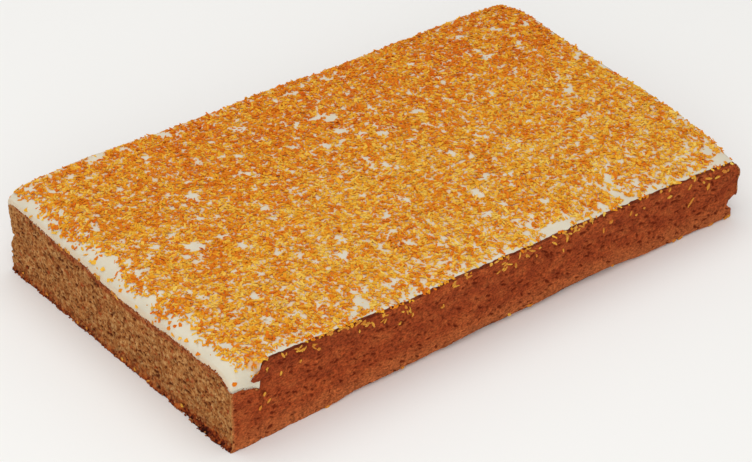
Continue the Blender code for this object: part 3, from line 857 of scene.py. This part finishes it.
def linear(hexColour):
    parts = [int(hexColour[n:n + 2], 16) / 255 for n in (1, 3, 5)]
    return [c / 12.92 if c <= 0.04045 else ((c + 0.055) / 1.055) ** 2.4 for c in parts] + [1.0]


# adds a node and gives one of its outputs. Settings are its own properties, a ramp's stops, or its inputs
# by name or number, each with a value or with the output that feeds it. A plain row is the inputs in order
def addNode(tree, kind, settings, output=0):
    node = tree.nodes.new("ShaderNode" + kind)
    for key, value in settings.items() if isinstance(settings, dict) else enumerate(settings):
        value = linear(value) if isinstance(value, str) and value[0] == "#" else value
        if isinstance(value, bpy.types.NodeSocket):
            tree.links.new(value, node.inputs[key])
        elif key == "stops":
            ramp = node.color_ramp.elements
            ramp.remove(ramp[1])
            ramp[0].position, ramp[0].color = value[0][0], linear(value[0][1])
            for place, colour in value[1:]:
                ramp.new(place).color = linear(colour)
        elif isinstance(key, str) and hasattr(node, key):
            setattr(node, key, value)
        else:
            node.inputs[key].default_value = value
    return node.outputs[output]


def newMaterial(name, settings):  # a material, what adds nodes to it, and the object's coordinates
    material = bpy.data.materials.new(name)
    material.use_nodes = True
    for key, value in settings.items():
        material.node_tree.nodes["Principled BSDF"].inputs[key].default_value = value
    add = partial(addNode, material.node_tree)
    return material, add, add("TexCoord", {}, "Object")


def joinSurface(material, feeds):  # gives the surface its finished colour and its fine relief
    for key, source in feeds.items():
        material.node_tree.links.new(source, material.node_tree.nodes["Principled BSDF"].inputs[key])
    return material


def perMetre(size):  # a texture's scale from the size of its features in millimetres
    return 1000 / size


# baked sponge crust: dry and matt, browned by the tin, with pores, short cracks and a suede-like grain of
# fine crumbs; lighter at its foot as painted bounce light, with painted shade in its pressed hollows and a
# painted shadow line right under the icing's edge
def bakedCrust():
    material, add, places = newMaterial("bakedCrust", {
        "Roughness": 0.9, "IOR": 1.4, "Specular IOR Level": 0.12})
    flat = add("Mapping", {"Scale": (1, 1, 1.5), "Vector": places})
    broad, coarse, fine = [
        add("TexNoise", {"Scale": perMetre(size), "Detail": detail, "Roughness": rough,
                         "Vector": flat}, "Fac")
        for size, detail, rough in ((9, 4, 0.6), (2.6, 2, 0.6), (1.4, 4, 0.75))]
    rise, dark, edge, pit, underRim = [
        add("Attribute", {"attribute_name": name}, "Fac")
        for name in ("rise", "dark", "cutEdge", "pit", "underRim")]
    foot, pit, rim, speck, patch = [add("MapRange", inputs) for inputs in (
        (rise, 1, 12, 0.6, 0), (pit, 0.1, 0.7, 0, 0.8), (underRim, 0.3, 1, 0.6, 0),
        (fine, 0.36, 0.64, 0.5, 1.5), (coarse, 0.3, 0.7, 0.84, 1.16))]
    grainy = add("Math", {"operation": "MULTIPLY", 0: speck, 1: patch})
    stops = [(0.33, "#883819"), (0.5, "#9B4520"), (0.66, "#AA552A")]
    colour = add("ValToRGB", {"stops": stops, "Fac": broad})
    # the foot's mix is painted bounce light low on the sides, #702913 painted shade below the rim, #5C1804
    # painted shade in the pressed hollows and #3F150A a painted shadow line right under the icing's edge
    for share, over, way in (
            (foot, "#BA6C3C", "MIX"), (dark, "#702913", "MIX"), (edge, "#B26E3D", "MIX"),
            (1.0, grainy, "MULTIPLY"), (pit, "#5C1804", "MIX"), (rim, "#3F150A", "MIX")):
        colour = add("Mix", {"data_type": "RGBA", "blend_type": way, 0: share, 6: colour, 7: over}, 2)
    bump = add("Bump", {"Strength": 0.6, "Distance": 0.3 * mm, "Height": fine})
    return joinSurface(material, {"Base Color": colour, "Normal": bump})


# cut sponge: soft open crumb, tan with torn fibres and bits of cooked carrot, and painted shade in its pores
def openCrumb():
    material, add, places = newMaterial("openCrumb", {
        "Roughness": 0.95, "IOR": 1.4, "Specular IOR Level": 0.1})
    pores = add("TexVoronoi", {"Scale": perMetre(1.9), "Vector": places})
    fibre, broad, clots = [
        add("TexNoise", {"Scale": perMetre(size), "Detail": detail, "Roughness": rough,
                         "Distortion": twist, "Vector": places}, "Fac")
        for size, detail, rough, twist in ((2.2, 3, 0.7, 0.4), (4.5, 2, 0.5, 0), (2.4, 3, 0.6, 0))]
    pit, bit, edge, skin, underRim, toasted = [
        add("Attribute", {"attribute_name": name}, "Fac")
        for name in ("pit", "carrotBit", "cutEdge", "skin", "underRim", "toasted")]
    shade, hole, pit, bit, smear, burnt, darker = [add("MapRange", inputs) for inputs in (
        (broad, 0.3, 0.7, 0.84, 1.15), (pores, 0.12, 0.42, 0.9, 0), (pit, 0.3, 1.2, 0, 0.92),
        (bit, 0.2, 0.9, 0, 0.75), (underRim, 0.7, 2.4, 0.5, 0), (toasted, 0, 0.6, 0, 1),
        (toasted, 0.6, 1, 0.05, -0.05))]
    depth = add("Math", {"operation": "ADD", 0: clots, 1: darker})
    colour, reddish, brown = [
        add("ValToRGB", {"stops": stops, "Fac": source}) for source, stops in (
            (fibre, [(0.35, "#884921"), (0.45, "#9C6030"), (0.56, "#B27C47"), (0.68, "#C0905C")]),
            (fibre, [(0.38, "#702C13"), (0.5, "#944823"), (0.62, "#B15F31")]),
            (depth, [(0.38, "#300F06"), (0.46, "#5C2110"), (0.55, "#823818"), (0.66, "#B35C26")]))]
    # 5A230F is painted shade in the pores and #54220E painted shade in the pressed hollows
    for share, over, way in (
            (1.0, shade, "MULTIPLY"), (hole, "#5A230F", "MIX"), (pit, "#54220E", "MIX"),
            (bit, "#A0421C", "MIX"), (edge, "#B07C44", "MIX"), (skin, reddish, "MIX"),
            (smear, "#C48C5A", "MIX"), (burnt, brown, "MIX")):
        colour = add("Mix", {"data_type": "RGBA", "blend_type": way, 0: share, 6: colour, 7: over}, 2)
    bump = add("Bump", {"Strength": 0.6, "Distance": 0.5 * mm, "Height": fibre})
    return joinSurface(material, {"Base Color": colour, "Normal": bump})


# cream icing, spread with a knife: smooth, off-white, faintly translucent with a satin surface, and tinged
# orange by the carrot's juice where the flakes lie thick
def creamIcing():
    material, add, places = newMaterial("creamIcing", {
        "Roughness": 0.5, "IOR": 1.45, "Specular IOR Level": 0.25, "Subsurface Weight": 0.15,
        "Subsurface Radius": (1, 0.75, 0.5), "Subsurface Scale": 1.5 * mm})
    broad, fine = [
        add("TexNoise", {"Scale": perMetre(size), "Detail": detail, "Vector": places}, "Fac")
        for size, detail in ((12, 3), (3, 2))]
    colour = add("ValToRGB", {"stops": [(0.35, "#CFC5AF"), (0.65, "#D7CEB9")], "Fac": broad})
    stain = add("Attribute", {"attribute_name": "stain"}, "Fac")
    stain = add("MapRange", (stain, 0.2, 1, 0, 0.7))
    colour = add("Mix", {"data_type": "RGBA", 0: stain, 6: colour, 7: "#DD9A48"}, 2)
    bump = add("Bump", {"Strength": 0.2, "Distance": 0.2 * mm, "Height": fine})
    return joinSurface(material, {"Base Color": colour, "Normal": bump})


# loose crumbs: matt red-brown lumps from under the icing and from the broken crust
def crumbLumps():
    material, add, _ = newMaterial("crumbLumps", {"Roughness": 0.95, "IOR": 1.4, "Specular IOR Level": 0.1})
    tint = add("Attribute", {"attribute_name": "tint"}, "Fac")
    stops = [(0, "#73331A"), (0.6, "#964D26"), (1, "#B97E48")]
    colour = add("ValToRGB", {"stops": stops, "Fac": tint})
    return joinSurface(material, {"Base Color": colour})


# grated carrot: moist shreds of one root, from deep orange to yellow, each of one tint
def gratedCarrot(name, low, high):
    material, add, places = newMaterial(name, {
        "Roughness": 0.55, "IOR": 1.38, "Specular IOR Level": 0.13, "Subsurface Weight": 0.3,
        "Subsurface Radius": (1, 0.6, 0.2), "Subsurface Scale": 1 * mm})
    tint = add("Attribute", {"attribute_name": "tint"}, "Fac")
    colour = add("ValToRGB", {"stops": [(0, low), (1, high)], "Fac": tint})
    fibre = add("TexNoise", {"Scale": perMetre(1.1), "Detail": 2, "Vector": places}, "Fac")
    shade = add("MapRange", (fibre, 0.3, 0.7, 0.88, 1.1))
    colour = add("Mix", {"data_type": "RGBA", "blend_type": "MULTIPLY", 0: 1.0, 6: colour, 7: shade}, 2)
    return joinSurface(material, {"Base Color": colour})


crust, crumb, cream = bakedCrust(), openCrumb(), creamIcing()
carrots = [gratedCarrot(name, low, high) for name, low, high in (
    ("deepCarrot", "#CB5706", "#D97912"), ("orangeCarrot", "#D97912", "#E0911C"),
    ("amberCarrot", "#E0911C", "#E5A52A"), ("paleCarrot", "#E5A52A", "#EDC35C"),
    ("fallenCarrot", "#C97A2A", "#DDA23C"))]

spongePiece = buildSponge(crust, crumb)
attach(spongePiece, "root")
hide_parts("sponge")
print("sponge built")

flakeRows, pile = pileFlakes()
icingPiece = buildIcing(cream, pile)
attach(icingPiece, "root")
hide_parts("icing")
print("icing built")

for piece in buildTopFlakes(flakeRows, carrots):
    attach(piece, "root")
for piece in (buildFallenFlakes(carrots[4]), buildCrumbs(crumbLumps())):
    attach(piece, "root")
print("carrot and crumbs laid")


studio = {
    "floorColour": "#F2F1EE",
    "worldColour": "#FFFFFF",
    "worldStrength": 0.62,
    "lights": [("overhead", (-0.1, 0.15, 1.3), 1.6, 7.5), ("front", (-1.0, -1.3, 0.75), 1.2, 9.0)],
    "aim": (0, 0, 0.03),
    "azimuth": -38.08,
    "elevation": 34.35,
    "distance": 1.4668,
    "target": (-0.0134, -0.0153, 0.0211),
    "lens": 143.62,
    "sensor": 36,
}

floorMesh = bpy.data.meshes.new("floor")
floorMesh.from_pydata([(-3, -3, 0), (3, -3, 0), (3, 3, 0), (-3, 3, 0)], [], [(0, 1, 2, 3)])
floor = bpy.data.objects.new("floor", floorMesh)
bpy.context.scene.collection.objects.link(floor)
paper, _, _ = newMaterial("palePaper", {"Base Color": linear(studio["floorColour"]), "Roughness": 0.9,
                                        "Specular IOR Level": 0.1})
floorMesh.materials.append(paper)
floor.location.z = -0.1 * mm
floor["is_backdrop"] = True

bpy.context.scene.view_settings.view_transform = "Standard"
world = bpy.context.scene.world or bpy.data.worlds.new("studio")
bpy.context.scene.world = world
world.use_nodes = True
world.node_tree.nodes["Background"].inputs["Color"].default_value = linear(studio["worldColour"])
world.node_tree.nodes["Background"].inputs["Strength"].default_value = studio["worldStrength"]

for name, place, size, power in studio["lights"]:
    light = bpy.data.lights.new(name, "AREA")
    light.shape, light.size, light.energy = "DISK", size, power
    lamp = bpy.data.objects.new(name, light)
    lamp.location = place
    lamp.rotation_euler = (Vector(place) - Vector(studio["aim"])).to_track_quat("Z", "Y").to_euler()
    bpy.context.scene.collection.objects.link(lamp)

azimuth, elevation = math.radians(studio["azimuth"]), math.radians(studio["elevation"])
level = math.cos(elevation)
back = Vector((math.sin(azimuth) * level, -math.cos(azimuth) * level, math.sin(elevation)))
cameraData = bpy.data.cameras.new("photoView")
cameraData.lens = studio["lens"]
cameraData.sensor_width = studio["sensor"]
camera = bpy.data.objects.new("photoView", cameraData)
camera.location = Vector(studio["target"]) + back * studio["distance"]
camera.rotation_euler = back.to_track_quat("Z", "Y").to_euler()
bpy.context.scene.collection.objects.link(camera)
bpy.context.scene.camera = camera
print("studio set")

boxes = {"cad": cadBox, "visual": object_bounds()}
{name: [list(corner) for corner in box] for name, box in boxes.items()}
